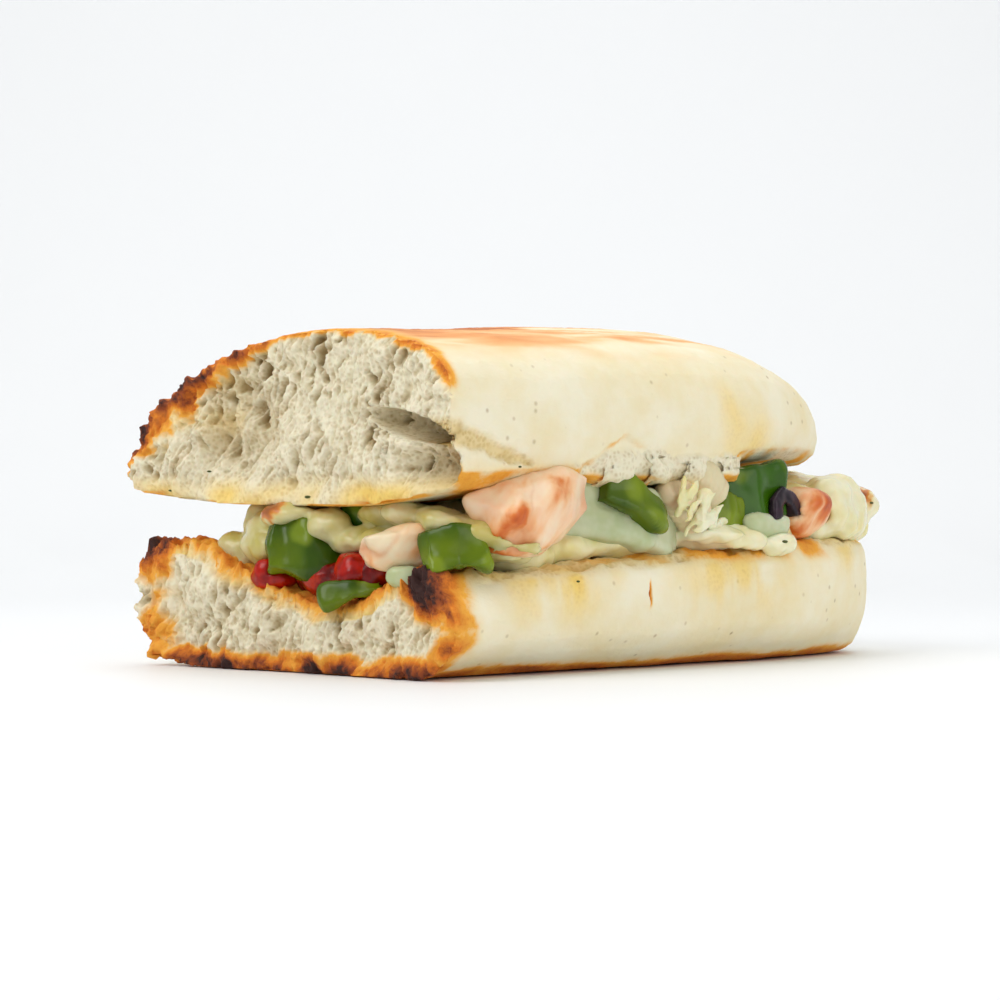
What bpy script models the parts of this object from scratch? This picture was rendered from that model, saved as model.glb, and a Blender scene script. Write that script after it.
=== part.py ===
"""Half of a toasted submarine sandwich, torn across at one end.

Metres, +Z up. The roll runs along X: its torn end faces -X, its baked round end +X. It rests
on the flat base of the lower bread at Z = 0. The side at -Y is the front of the sandwich.
A lower and an upper bread hold tomato sauce, melted cheese and chopped pieces of pepper,
onion, chicken, tomato and olive.
"""

import math

import bmesh
import bpy
from mathutils import Vector, noise

# Driving dimensions of the roll
LENGTH = 0.1435
HALF_WIDTH = 0.0425
HEIGHT = 0.065
TORN_X = -0.071
ROUND_X = TORN_X + LENGTH
CENTRE = Vector((-0.00075, 0.0007, 0))  # middle of the finished sandwich, which goes to the origin

LOWER_RIM = 0.0205  # height of the lower bread at the torn end
LOWER_RISE = 0.0040  # how much higher its rim is at the round end
TROUGH_DEPTH = 0.0085  # hollow in the lower bread that holds the sauce
UPPER_BASE = 0.0300  # underside of the upper bread at the torn end
UPPER_RISE = 0.0075  # how much higher the underside is at the round end
ROUND_REACH = 0.054  # length over which the round end narrows
UPPER_SETBACK = 0.0155  # the upper bread ends this much short of the lower one
FLARE = 0.0042  # the rear edge of the torn end spreads out by this much
GAP = 0.0004  # clearance left where one piece lies on another

WHEAT = (0.84, 0.72, 0.47, 1)
SAUCE_RED = (0.42, 0.03, 0.01, 1)
CHEESE = (0.86, 0.78, 0.48, 1)
PEPPER_GREEN = (0.13, 0.34, 0.02, 1)
ONION_WHITE = (0.66, 0.70, 0.50, 1)
CHICKEN_PINK = (0.83, 0.55, 0.38, 1)
TOMATO_RED = (0.60, 0.03, 0.01, 1)
OLIVE_BLACK = (0.05, 0.02, 0.03, 1)


def clear_scene():
    for obj in list(bpy.data.objects):
        bpy.data.objects.remove(obj)


def collection(name):
    made = bpy.data.collections.new(name)
    bpy.context.scene.collection.children.link(made)
    return made


def material(name, color, roughness):
    made = bpy.data.materials.new(name)
    made.use_nodes = True
    shader = made.node_tree.nodes["Principled BSDF"]
    shader.inputs["Base Color"].default_value = color
    shader.inputs["Roughness"].default_value = roughness
    return made


clear_scene()
SANDWICH = collection("submarine_sandwich")
CUTTERS = collection("cutters")
BREAD = material("bread", WHEAT, 0.8)
SAUCE = material("sauce", SAUCE_RED, 0.3)
MELTED = material("cheese", CHEESE, 0.4)
PEPPER = material("pepper", PEPPER_GREEN, 0.3)
ONION = material("onion", ONION_WHITE, 0.3)
CHICKEN = material("chicken", CHICKEN_PINK, 0.5)
TOMATO = material("tomato", TOMATO_RED, 0.25)
OLIVE = material("olive", OLIVE_BLACK, 0.25)


def smooth(t):
    t = min(max(t, 0.0), 1.0)
    return t * t * (3 - 2 * t)


def mix(a, b, t):
    return a + (b - a) * t


def bump(value, centre, spread):
    return math.exp(-(((value - centre) / spread) ** 2))


def swell(point, size, height):
    """Smooth unevenness of hand-shaped dough, up to about `height` either way."""
    return noise.noise(point / size) * height


# Shapes made from a block ------------------------------------------------------------------


def stations(count):
    return [2 * i / count - 1 for i in range(1, count)]


def block(name, counts, place, levels=1, creased=None, crease=1.0):
    """A cube cut into counts[axis] slices along each axis. place(u, v, w), with each from -1 to 1,
    gives every corner's place, and creased(u, v, w) says which corners keep a sharper edge."""
    bpy.ops.mesh.primitive_cube_add(size=2)
    obj = bpy.context.object
    obj.name = name
    mesh = bmesh.new()
    mesh.from_mesh(obj.data)
    for axis, count in enumerate(counts):
        normal = [0, 0, 0]
        normal[axis] = 1
        for station in stations(count):
            everything = list(mesh.verts) + list(mesh.edges) + list(mesh.faces)
            cut_at = [station * n for n in normal]
            bmesh.ops.bisect_plane(mesh, geom=everything, plane_co=cut_at, plane_no=normal)
    if creased:
        layer = mesh.edges.layers.float.new("crease_edge")
        for edge in mesh.edges:
            if all(creased(*corner.co) for corner in edge.verts):
                edge[layer] = crease
    for corner in mesh.verts:
        corner.co = place(*corner.co)
    mesh.to_mesh(obj.data)
    mesh.free()
    if levels:
        subdivision = obj.modifiers.new("Subdivision", "SUBSURF")
        subdivision.levels = levels
        subdivision.render_levels = levels
    obj.data.shade_smooth()
    return obj


def put(obj, home, finish=None):
    for holder in list(obj.users_collection):
        holder.objects.unlink(obj)
    home.objects.link(obj)
    if finish:
        obj.data.materials.clear()
        obj.data.materials.append(finish)
    if home is CUTTERS:
        obj.hide_render = True
        obj.display_type = "WIRE"
    return obj


def boolean(obj, operation, other):
    cut = obj.modifiers.new(operation.title(), "BOOLEAN")
    cut.operation = operation
    cut.object = other


# The roll ----------------------------------------------------------------------------------


def share_along(x):
    """0 at the torn end, 1 at the round end."""
    return min(max((x - TORN_X) / LENGTH, 0.0), 1.0)


def length_place(u, end_x):
    """Slices lie closer together towards the round end, where the roll curves most."""
    t = (u + 1) / 2
    return mix(TORN_X, end_x, 0.5 * t + 0.5 * math.sin(t * math.pi / 2))


def half_width(x, end_x):
    """Plan of the roll: straight sides and a blunt, rounded end."""
    blunt = 0.16
    t = min(max((end_x - x) / ROUND_REACH, 0.0), 1.0)
    return HALF_WIDTH * mix(blunt, 1.0, math.sqrt(1 - (1 - t) ** 2))


def rim_height(x):
    return LOWER_RIM + LOWER_RISE * smooth(share_along(x))


def bed_height(x, y):
    """Top of the lower bread: a rim round a trough, which falls away at the torn end."""
    depth = mix(TROUGH_DEPTH, 0.35 * TROUGH_DEPTH, smooth(share_along(x) * 1.4))
    ramp = 0.0035 * bump(x, TORN_X, 0.012)
    trough = bump(y, mix(-0.009, 0.0, smooth(share_along(x) * 2)), 0.021)
    rear_lift = 0.0015 * smooth((y - 0.010) / 0.025) * (1 - share_along(x))
    return rim_height(x) + rear_lift - (depth + ramp) * trough


def underside_height(x, y):
    """Underside of the upper bread, which sags over the filling and lifts along the front."""
    rise = UPPER_RISE * smooth(share_along(x) * 1.2)
    front = 0.0030 * smooth((-y - 0.018) / 0.024)
    rear = 0.0022 * smooth((y - 0.010) / 0.035) * (1 - share_along(x))
    lumps = swell(Vector((x, y, 0.3)), 0.022, 0.0012)
    return UPPER_BASE + rise + front + rear + lumps


def torn_face(y, z):
    """How far the torn face stands in from a flat cut."""
    return 0.0012 + swell(Vector((0.7, y, z)), 0.016, 0.0022)


def side_share(t):
    """Width of the lower bread at height share t, tucked in at the base and at the rim."""
    return 1 - 0.15 * (1 - t) ** 4 - 0.035 * t**3


def lower_bread():
    def place(u, v, w):
        t = (w + 1) / 2
        x = length_place(u, ROUND_X)
        # the nose leans out from the base before it turns up
        x -= 0.012 * (1 - t) ** 3 * smooth((u - 0.3) / 0.7)
        y = v * half_width(x, ROUND_X) * side_share(t)
        top = bed_height(x, y)
        z = top * t
        if abs(v) == 1 and 0 < t < 1:
            y += math.copysign(swell(Vector((x, v, z)), 0.03, 0.0012), v)
        y += 0.5 * FLARE * bump(x, TORN_X, 0.022) * smooth(v)
        if u == -1:
            x += torn_face(y, z) - 0.002 * smooth(v)
        return Vector((x, y, z))

    bread = block("lower_bread", (8, 8, 3), place, creased=lambda u, v, w: torn_rim(u, v, w))
    return put(bread, SANDWICH, BREAD)


def torn_rim(u, v, w):
    return u == -1 and (abs(v) == 1 or abs(w) == 1)


def crown_height(x):
    """Height of the roll's ridge. It dips at the torn end and runs down into the round end."""
    dip = 0.0035 * bump(x, TORN_X, 0.045)
    t = min(max((ROUND_X - UPPER_SETBACK - x) / 0.056, 0.0), 1.0)
    nose = (1 - (1 - t) ** 1.75) ** (1 / 1.75)
    lowest = UPPER_BASE + UPPER_RISE + 0.003
    return mix(lowest, HEIGHT + 0.0004, nose) - dip


def upper_profile(x, angle):
    """(y, height above the underside) as shares of the upper bread's half width and height.
    At the torn end the rear of the crown is a long slope; the front is always a full curve."""
    c, s = math.cos(angle), math.sin(angle)
    full = mix(2.9, 2.2, smooth(share_along(x) * 1.4))
    slack = mix(1.45, 2.1, smooth(share_along(x) * 1.8))
    power = 2 / (full if c < 0 else slack)
    return math.copysign(abs(c) ** power, c), max(s, 0.0) ** power


def upper_bread():
    end_x = ROUND_X - UPPER_SETBACK

    def place(u, v, w):
        x = length_place(u, end_x)
        wide = half_width(x, end_x)
        flare = 1.5 * FLARE * bump(x, TORN_X, 0.03)
        reach = max(abs(v), (w + 1) / 2)
        if reach == 0:
            across, up = 0.0, 0.0
        else:
            across, up = upper_profile(x, math.atan2((w + 1) / 2, v))
            if w == -1:
                across, up = v * 0.96, 0.0
            else:
                across, up = across * reach, up * reach
        y = across * (wide + (flare if across > 0 else 0))
        low = underside_height(x, y)
        z = low + up * (crown_height(x) - low)
        # the side wall rises a little before it starts to lean in
        z += 0.004 * (1 - up) * up * 4 * abs(across)
        if u == -1:
            x += torn_face(y, z) - 0.003 * smooth(across * 1.5)
        if u == 1:
            x -= 0.006 * up
        return Vector((x, y, z))

    bread = block("upper_bread", (9, 8, 3), place, creased=lambda u, v, w: torn_rim(u, v, w))
    return put(bread, SANDWICH, BREAD)


def lens(name, centre, radii, turn):
    """A flattened ball, used to hollow out torn crumb."""
    bpy.ops.mesh.primitive_uv_sphere_add(segments=14, ring_count=8, radius=1, location=centre)
    obj = bpy.context.object
    obj.name = name
    obj.scale = radii
    obj.rotation_euler = [math.radians(a) for a in turn]
    return put(obj, CUTTERS)


def tear_upper_bread(bread):
    """Opens the pocket in the torn crumb, tears the front corner, and lifts the crust's lower
    edge along the front so that a step of bare crumb shows under it."""
    pocket = lens("pocket", (-0.0715, -0.029, 0.0440), (0.011, 0.0125, 0.0024), (13, 0, 0))
    corner = lens("torn_corner", (-0.0735, -0.0375, 0.0345), (0.0065, 0.015, 0.0078), (12, 0, 0))

    def place(u, v, w):
        x = mix(-0.062, 0.010, (u + 1) / 2)
        lift = 0.0065 * bump(x, -0.026, 0.007) + 0.0018
        y = mix(-0.048, -0.0385, (v + 1) / 2) + swell(Vector((x, 0, 0)), 0.01, 0.0008)
        top = underside_height(x, -0.040) + lift * smooth((x + 0.062) / 0.012)
        return Vector((x, y, mix(0.026, top, (w + 1) / 2)))

    lip = put(block("crust_step", (10, 1, 1), place, levels=0), CUTTERS)
    for cutter in (pocket, corner, lip):
        boolean(bread, "DIFFERENCE", cutter)


# Sauce and cheese --------------------------------------------------------------------------


def sauce_middle(x):
    return mix(-0.006, 0.0, smooth(share_along(x) * 2))


def sauce_reach(x):
    return mix(0.020, 0.012, smooth((x - 0.001) / 0.06))


def sauce_top(x, y):
    """The sauce is thickest along its middle and fades out at its edges."""
    t = min(abs(y - sauce_middle(x)) / sauce_reach(x), 1.0)
    thick = mix(0.0036, 0.0016, t) + swell(Vector((x, y, 0)), 0.007, 0.0010)
    return bed_height(x, y) + thick


def sauce_layer():
    """Tomato sauce in the trough, from just inside the torn face to the round end."""

    def place(u, v, w):
        x = mix(TORN_X + 0.005, ROUND_X - 0.012, (u + 1) / 2)
        y = sauce_middle(x) + v * sauce_reach(x)
        return Vector((x, y, mix(bed_height(x, y) + GAP, sauce_top(x, y), (w + 1) / 2)))

    layer = block("tomato_sauce", (7, 2, 1), place)
    return put(layer, SANDWICH, SAUCE)


def cheese_outline(x, side):
    """How far the cheese reaches to the front (side -1) or rear (side 1). Along the straight part
    the chopped pieces lie outside it, and at the round end it runs out almost to the crust."""
    reach = half_width(x, ROUND_X) * mix(0.76, 0.93, smooth((x - 0.020) / 0.020))
    if side > 0:
        # the rear corner of the torn end holds no filling
        reach = min(reach, 0.016 + 1.05 * (x - TORN_X))
    return reach


def cheese_layer():
    """Melted cheese between the breads, thick in the middle, with uneven melted edges."""

    def place(u, v, w):
        x = mix(TORN_X + 0.0035, ROUND_X - 0.004, (u + 1) / 2)
        side = 1 if v > 0 else -1
        y = v * cheese_outline(x, side)
        edge = swell(Vector((x, side, 0)), 0.009, 0.0035) * abs(v) ** 3
        y += side * edge
        if abs(u) == 1:
            x += swell(Vector((y, u, 3)), 0.008, 0.0025)
        # the underside clears the sauce, which shows under it at the torn end
        past_sauce = abs(y - sauce_middle(x)) / sauce_reach(x)
        low = bed_height(x, y) + 0.0009 + 0.0050 * (1 - smooth((past_sauce - 1.1) / 0.5))
        low += 0.006 * bump(x, TORN_X, 0.016) * bump(y, -0.009, 0.020)
        high = underside_height(x, y) - 0.0009 - 0.0040 * abs(v) ** 3
        if u == -1:
            high -= 0.003
        return Vector((x, y, mix(low, high, (w + 1) / 2)))

    layer = block("melted_cheese", (9, 4, 1), place)
    return put(layer, SANDWICH, MELTED)


def cheese_lobe(cheese, number, centre, radii, turn):
    """A tongue of cheese that has run out over the bread, joined to the layer."""
    bpy.ops.mesh.primitive_ico_sphere_add(subdivisions=2, radius=1, location=centre)
    obj = bpy.context.object
    obj.name = f"cheese_lobe_{number}"
    obj.scale = radii
    obj.rotation_euler = [math.radians(a) for a in turn]
    for corner in obj.data.vertices:
        corner.co *= 1 + 0.18 * noise.noise(corner.co * 1.3 + Vector((number, 0, 0)))
    put(obj, CUTTERS)
    boolean(cheese, "UNION", obj)


# Chopped pieces ----------------------------------------------------------------------------


def curved_chip(name, finish, centre, turn, size, curl, counts=(2, 1, 1), taper=0.0, sharp=0.7):
    """A chopped piece of pepper or onion wall: a slab that curls along its length, with the
    crisp edges that a knife leaves. taper narrows it towards +U."""
    length, width, thick = (s / 2 for s in size)

    def place(u, v, w):
        narrow = 1 - taper * (u + 1) / 2
        x = u * length
        y = v * width * narrow
        z = w * thick - curl * u * u - 0.35 * curl * v * v
        unevenness = noise.noise(Vector((u, v, w)) * 1.7 + Vector(centre) * 900) * thick * 0.35
        return Vector((x, y + unevenness, z + unevenness))

    def outer_edge(u, v, w):
        return abs(w) == 1 and (abs(u) == 1 or abs(v) == 1)

    obj = block(name, counts, place, creased=outer_edge, crease=sharp)
    obj.location = centre
    obj.rotation_euler = [math.radians(a) for a in turn]
    return put(obj, SANDWICH, finish)


def chunk(name, finish, centre, turn, size, rough=0.20, seed=0):
    """A torn or diced lump: a ball pressed towards a block, with uneven hollows."""
    bpy.ops.mesh.primitive_ico_sphere_add(subdivisions=2, radius=1, location=centre)
    obj = bpy.context.object
    obj.name = name
    for corner in obj.data.vertices:
        direction = corner.co.normalized()
        squared = 1 / max(abs(direction.x), abs(direction.y), abs(direction.z))
        reach = mix(1.0, squared, 0.45)
        reach *= 1 + rough * noise.noise(direction * 1.6 + Vector((seed, 1.7, 0)))
        corner.co = Vector(d * reach * s / 2 for d, s in zip(direction, size))
    obj.rotation_euler = [math.radians(a) for a in turn]
    obj.data.shade_smooth()
    return put(obj, SANDWICH, finish)


def olive_slice(name, centre, turn, radius, wall, height, sweep):
    """Part of a ring cut from a pitted olive."""

    def place(u, v, w):
        angle = math.radians(sweep) * (1 - u) / 2
        ring = radius + v * wall / 2
        return Vector((ring * math.cos(angle), ring * math.sin(angle), w * height / 2))

    obj = block(name, (4, 1, 1), place, creased=lambda u, v, w: abs(w) == 1, crease=0.5)
    obj.location = centre
    obj.rotation_euler = [math.radians(a) for a in turn]
    return put(obj, SANDWICH, OLIVE)


def chopped_pieces():
    """Every piece that shows at the torn end, along the front, at the round end and along the
    rear. An earlier piece lies in front of a later one and keeps its whole shape."""
    mm = 0.001

    def at(x, y, z):
        return (x * mm, y * mm, z * mm)

    made = [
        # torn end
        curved_chip("pepper_torn_end", PEPPER, at(-66.5, 0.5, 22.6), (80, 4, -46), at(14.5, 9.8, 4.8), 0.0014),
        curved_chip("pepper_front_corner", PEPPER, at(-65.0, -36.6, 22.8), (66, -6, -34), at(11, 8.8, 4.2), 0.0018),
        curved_chip("pepper_sliver", PEPPER, at(-69.6, -14.2, 15.4), (52, -14, -50), at(11.5, 4.6, 1.8), 0.0010, taper=0.4),
        chunk("chicken_torn_end", CHICKEN, at(-64.5, -24.6, 23.0), (12, -8, -38), at(17, 9.5, 9.5), seed=3),
        chunk("tomato_torn_end", TOMATO, at(-67.0, 9.0, 17.4), (10, 20, 30), at(6.5, 8.5, 5.5), seed=5),
        chunk("tomato_in_trough", TOMATO, at(-62.5, -13.0, 18.0), (5, 10, -40), at(14, 10, 7.0), seed=8),
        curved_chip("pepper_under_crown", PEPPER, at(-60.5, -8.0, 27.6), (86, 0, -48), at(10, 7, 3.6), 0.0012),
        chunk("onion_crumb", ONION, at(-67.6, -25.8, 17.6), (0, 12, -50), at(6.0, 4.2, 3.6), seed=11),
        # front
        chunk("chicken_front", CHICKEN, at(-47.5, -36.4, 29.2), (14, -14, 8), at(25, 15, 13.0), rough=0.28, seed=1),
        curved_chip("pepper_leaf", PEPPER, at(-21.5, -40.0, 31.4), (72, 30, -12), at(15, 9.0, 3.0), 0.0018, taper=0.55),
        curved_chip("onion_front", ONION, at(-21.5, -36.6, 28.0), (78, 10, -6), at(28, 10.5, 5.0), 0.0030, counts=(3, 1, 1)),
        chunk("chicken_shred", CHICKEN, at(-7.0, -37.2, 29.4), (30, 30, 10), at(12, 7, 6.0), seed=14),
        chunk("chicken_mid_front", CHICKEN, at(-0.5, -35.0, 33.2), (-20, 32, 14), at(10, 8, 7.0), seed=17),
        curved_chip("pepper_front_dark", PEPPER, at(13.0, -37.0, 32.4), (82, -3, -8), at(18, 10.5, 5.0), 0.0022),
        curved_chip("pepper_front_olive", PEPPER, at(4.2, -37.6, 29.0), (80, 8, -12), at(9.5, 6.5, 3.2), 0.0012),
        olive_slice("olive_front", at(20.5, -38.6, 27.8), (78, 0, 10), 0.0042, 0.0030, 0.0030, 190),
        chunk("onion_dice", ONION, at(14.0, -38.2, 26.0), (8, 0, -8), at(12, 5.5, 5.0), seed=21),
        chunk("chicken_round_front", CHICKEN, at(29.5, -35.6, 28.8), (10, -12, 12), at(13.5, 9, 8.5), seed=24),
        # round end
        curved_chip("pepper_round_end", PEPPER, at(64.5, 8.0, 29.0), (84, 6, 66), at(13, 8.5, 4.4), 0.0016),
        chunk("chicken_round_end", CHICKEN, at(65.0, -7.5, 28.4), (0, 10, 70), at(13, 9, 8.0), rough=0.26, seed=27),
        # rear
        chunk("chicken_rear", CHICKEN, at(-28.0, 36.4, 28.4), (-10, 12, 8), at(23, 13, 12.0), rough=0.26, seed=30),
        curved_chip("pepper_rear_tall", PEPPER, at(-8.0, 37.0, 30.0), (-78, 8, 4), at(16, 10.5, 4.8), 0.0020),
        curved_chip("onion_rear", ONION, at(10.0, 36.0, 29.6), (-80, -8, 2), at(23, 10.0, 4.8), 0.0028, counts=(3, 1, 1)),
        chunk("tomato_rear", TOMATO, at(25.0, 35.4, 28.4), (0, 10, 10), at(11, 8, 7.0), seed=33),
        curved_chip("pepper_rear_round", PEPPER, at(38.0, 34.0, 30.2), (-78, -8, -18), at(14, 9, 4.4), 0.0018),
        chunk("chicken_rear_round", CHICKEN, at(51.0, 27.0, 28.8), (0, 14, -42), at(14, 9, 8.5), seed=36),
    ]
    return made


# Fitting the pieces together ---------------------------------------------------------------


def clearance_copy(obj):
    """The same shape grown by the gap, to cut its neighbours with. What an earlier piece took from
    it stays filled, as that piece cuts those neighbours too."""
    grown = bpy.data.objects.new(obj.name + "_clearance", obj.data)
    grown.matrix_world = obj.matrix_basis
    for source in obj.modifiers:
        if source.type == "BOOLEAN" and source.object.name.endswith("_clearance"):
            continue
        copied = grown.modifiers.new(source.name, source.type)
        for setting in source.bl_rna.properties:
            if not setting.is_readonly and setting.identifier != "name":
                setattr(copied, setting.identifier, getattr(source, setting.identifier))
    grow = grown.modifiers.new("Gap", "DISPLACE")
    grow.strength = GAP
    grow.mid_level = 0
    CUTTERS.objects.link(grown)
    grown.hide_render = True
    grown.display_type = "WIRE"
    return grown


def box_of(obj):
    corners = [obj.matrix_world @ Vector(corner) for corner in obj.bound_box]
    return [(min(c[i] for c in corners), max(c[i] for c in corners)) for i in range(3)]


def meet(first, second):
    return all(a[0] < b[1] and b[0] < a[1] for a, b in zip(box_of(first), box_of(second)))


def fit_together(pieces):
    """Cuts each piece back from every earlier one that its box meets."""
    copies = [clearance_copy(piece) for piece in pieces[:-1]]
    bpy.context.view_layer.update()
    meetings = [
        (piece, earlier)
        for number, piece in enumerate(pieces)
        for earlier in copies[:number]
        if meet(piece, earlier)
    ]
    for piece, earlier in meetings:
        boolean(piece, "DIFFERENCE", earlier)


def build():
    lower = lower_bread()
    upper = upper_bread()
    tear_upper_bread(upper)
    pieces = chopped_pieces()
    sauce = sauce_layer()
    cheese = cheese_layer()
    lobes = [
        # over the front rim, under the chicken and at mid length, then down the round end
        ((-0.0530, -0.0345, 0.0234), (0.0085, 0.0095, 0.0030), (0, 0, 4)),
        ((0.0020, -0.0340, 0.0248), (0.0120, 0.0095, 0.0030), (0, 3, 2)),
        ((0.0440, -0.0310, 0.0290), (0.0120, 0.0070, 0.0070), (0, 6, 24)),
        ((0.0570, -0.0195, 0.0275), (0.0080, 0.0065, 0.0080), (0, 0, 50)),
        # at the torn end, beyond the pepper
        ((-0.0645, 0.0130, 0.0235), (0.0052, 0.0060, 0.0052), (0, 0, 30)),
    ]
    for number, (centre, radii, turn) in enumerate(lobes):
        cheese_lobe(cheese, number, centre, radii, turn)
    fit_together([lower, upper, *pieces, sauce, cheese])
    for obj in bpy.data.objects:
        obj.location -= CENTRE


build()
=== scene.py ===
"""Half of a toasted submarine sandwich, torn across at one end and lying on a pale table.

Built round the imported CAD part. Metres, +Z up; the torn end faces -X and the front long side
faces -Y. Every piece starts from its CAD solid and is given its crumb, crust or wet surface.
"""

import math

import bpy
from mathutils import Matrix, Vector, noise
from mathutils.kdtree import KDTree


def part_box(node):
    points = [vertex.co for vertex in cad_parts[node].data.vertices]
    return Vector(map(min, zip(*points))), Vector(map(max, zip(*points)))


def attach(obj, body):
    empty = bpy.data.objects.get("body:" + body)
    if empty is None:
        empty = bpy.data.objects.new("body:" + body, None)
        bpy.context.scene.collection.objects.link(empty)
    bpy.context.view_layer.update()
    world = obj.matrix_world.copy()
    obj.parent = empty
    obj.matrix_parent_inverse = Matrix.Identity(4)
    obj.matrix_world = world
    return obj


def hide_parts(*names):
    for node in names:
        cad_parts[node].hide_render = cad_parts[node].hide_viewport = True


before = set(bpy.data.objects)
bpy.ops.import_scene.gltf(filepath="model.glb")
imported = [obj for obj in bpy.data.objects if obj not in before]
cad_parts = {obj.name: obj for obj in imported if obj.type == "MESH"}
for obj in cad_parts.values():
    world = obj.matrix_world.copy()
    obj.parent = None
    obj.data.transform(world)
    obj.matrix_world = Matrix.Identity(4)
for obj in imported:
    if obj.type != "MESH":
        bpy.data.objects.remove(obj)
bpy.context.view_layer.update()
bpy.ops.object.select_all(action="DESELECT")

# ---- Upper bread -----------------------------------------------------------------------------
# The top half of a wheat roll, torn across by hand after toasting: an open white crumb inside a
# thin baked crust, browned along the ridge and toasted dark round the torn rim.


def smooth(t):
    t = min(max(t, 0.0), 1.0)
    return t * t * (3 - 2 * t)


def mix(a, b, t):
    return a + (b - a) * t


def select_only(obj):
    bpy.ops.object.select_all(action="DESELECT")
    obj.select_set(True)
    bpy.context.view_layer.objects.active = obj


def apply_modifier(obj, name, kind, **settings):
    select_only(obj)
    modifier = obj.modifiers.new(name, kind)
    for setting, value in settings.items():
        setattr(modifier, setting, value)
    bpy.ops.object.modifier_apply(modifier=name)


def knead(obj, lumps):
    """Joins rounded lumps to a solid; each is (place, half sizes, turn in degrees), in millimetres."""
    for place, half, turn in lumps:
        bpy.ops.object.select_all(action="DESELECT")
        bpy.ops.mesh.primitive_uv_sphere_add(segments=24, ring_count=14, radius=0.001, location=Vector(place) * 0.001,
                                             rotation=[math.radians(a) for a in turn])
        bpy.context.object.scale = half
        bpy.ops.object.transform_apply(location=True, rotation=True, scale=True)
        obj.select_set(True)
        bpy.context.view_layer.objects.active = obj
        bpy.ops.object.join()


def dough_from(node, name, grain, rounds=2, lumps=()):
    """A copy of a CAD solid, with any lumps joined on, as an even skin of faces `grain` wide."""
    obj = bpy.data.objects.new(name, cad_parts[node].data.copy())
    bpy.context.scene.collection.objects.link(obj)
    obj.data.materials.clear()
    select_only(obj)
    bpy.ops.object.mode_set(mode="EDIT")
    bpy.ops.mesh.select_all(action="SELECT")
    bpy.ops.mesh.remove_doubles(threshold=1e-5)
    bpy.ops.object.mode_set(mode="OBJECT")
    knead(obj, lumps)
    apply_modifier(obj, "Even faces", "REMESH", mode="VOXEL", voxel_size=grain)
    apply_modifier(obj, "Soften", "SMOOTH", factor=0.5, iterations=rounds)
    obj.data.shade_smooth()
    return obj


def refine(obj, wanted, cuts=1):
    """Subdivides the faces for which wanted(centre, normal) holds."""
    select_only(obj)
    bpy.ops.object.mode_set(mode="EDIT")
    bpy.ops.mesh.select_mode(type="FACE")
    bpy.ops.mesh.select_all(action="DESELECT")
    bpy.ops.object.mode_set(mode="OBJECT")
    for face in obj.data.polygons:
        face.select = wanted(face.center, face.normal)
    bpy.ops.object.mode_set(mode="EDIT")
    bpy.ops.mesh.subdivide(number_cuts=cuts, smoothness=0)
    bpy.ops.object.mode_set(mode="OBJECT")


def attribute(obj, name, values):
    layer = obj.data.attributes.new(name, "FLOAT", "POINT")
    layer.data.foreach_set("value", values)


def fractal(point, size, octaves=3):
    """Uneven noise with features `size` wide, about -1 to 1."""
    return noise.fractal(point / size, 1.0, 2.0, octaves, noise_basis="PERLIN_ORIGINAL")


def pore(point, size, openness):
    """How deep a point lies in an air cell, 0 to 1. The cells vary in radius and have soft rims."""
    distances, centres = noise.voronoi(point / size)
    radius = openness * (0.55 + 0.8 * abs(noise.cell(centres[0] * 3.1)))
    t = distances[0] / radius
    return (1 - t * t) if t < 1 else 0.0


def crumb_relief(point, pressed):
    """(depth of torn crumb below its walls in metres, painted shade in its air cells from 0 to 1, darker
    where they are deep and open). pressed is 1 where the crumb was squashed smooth. The cells are drawn out upwards,
    with threads between."""
    wander = 0.0012 * fractal(point, 0.0050, 3)
    drawn = Vector((point.x * 0.5, point.y + wander + 0.25 * point.z, point.z * 0.66 - wander))
    open_here = smooth(0.46 + 1.2 * noise.noise(point / 0.0085)) * (1 - 0.9 * pressed)
    large = pore(drawn, 0.0029, 0.44) * open_here
    medium = pore(drawn + Vector((0.1, 0, 0)), 0.0015, 0.52) * (0.45 + 0.55 * open_here)
    small = pore(drawn + Vector((0.2, 0, 0)), 0.0008, 0.55)
    thread = 1 - min(1.0, 3.2 * abs(noise.noise(Vector((0, drawn.y / 0.0016, drawn.z / 0.0075)))))
    keep = 1 - 0.75 * pressed
    depth = (0.0022 * large + 0.0013 * medium + 0.00040 * small - 0.0008 * thread) * keep
    # painted shade: the deep, open cells are coloured darker as if shaded, the threads between them lighter
    painted_crumb_shade = (0.95 * large + 0.72 * medium + 0.26 * small - 0.35 * thread) * keep
    return depth, min(max(painted_crumb_shade, 0.0), 1.0)


def nearest(points, matching):
    """Distance from each point to the closest of the points for which matching holds."""
    wanted = [p for p, m in zip(points, matching) if m]
    tree = KDTree(len(wanted))
    for i, p in enumerate(wanted):
        tree.insert(p, i)
    tree.balance()
    return [tree.find(p)[2] for p in points]


upper_low, upper_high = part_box("upper_bread")
lower_low, lower_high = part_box("lower_bread")
torn_x = upper_low.x + 0.0022  # mean plane of the torn face
front_y = upper_low.y
rear_y = upper_high.y

# the torn strip of crumb left hanging below the notch in the front crust
INNER_STRIP = [((-36, -35.0, 36.6), (6, 4.0, 2.6), (0, 4, 0)), ((-26, -36.0, 37.0), (7, 4.0, 3.2), (0, -3, 4)),
               ((-16, -36.5, 36.9), (6, 4.2, 3.4), (0, 6, -3)), ((-5, -36.0, 36.7), (7, 4.0, 2.9), (0, -4, 2)),
               ((5, -36.0, 37.0), (6, 4.0, 2.6), (0, 2, 0))]
upper = dough_from("upper_bread", "upper_bread_look", 0.00095, 2, INNER_STRIP)


def pocket_reach(point):
    """Below 1 inside the slit pocket in the torn face."""
    return Vector(((point.x - torn_x) / 0.012, (point.y + 0.0297) / 0.0128, (point.z - 0.0440) / 0.0062)).length


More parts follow.
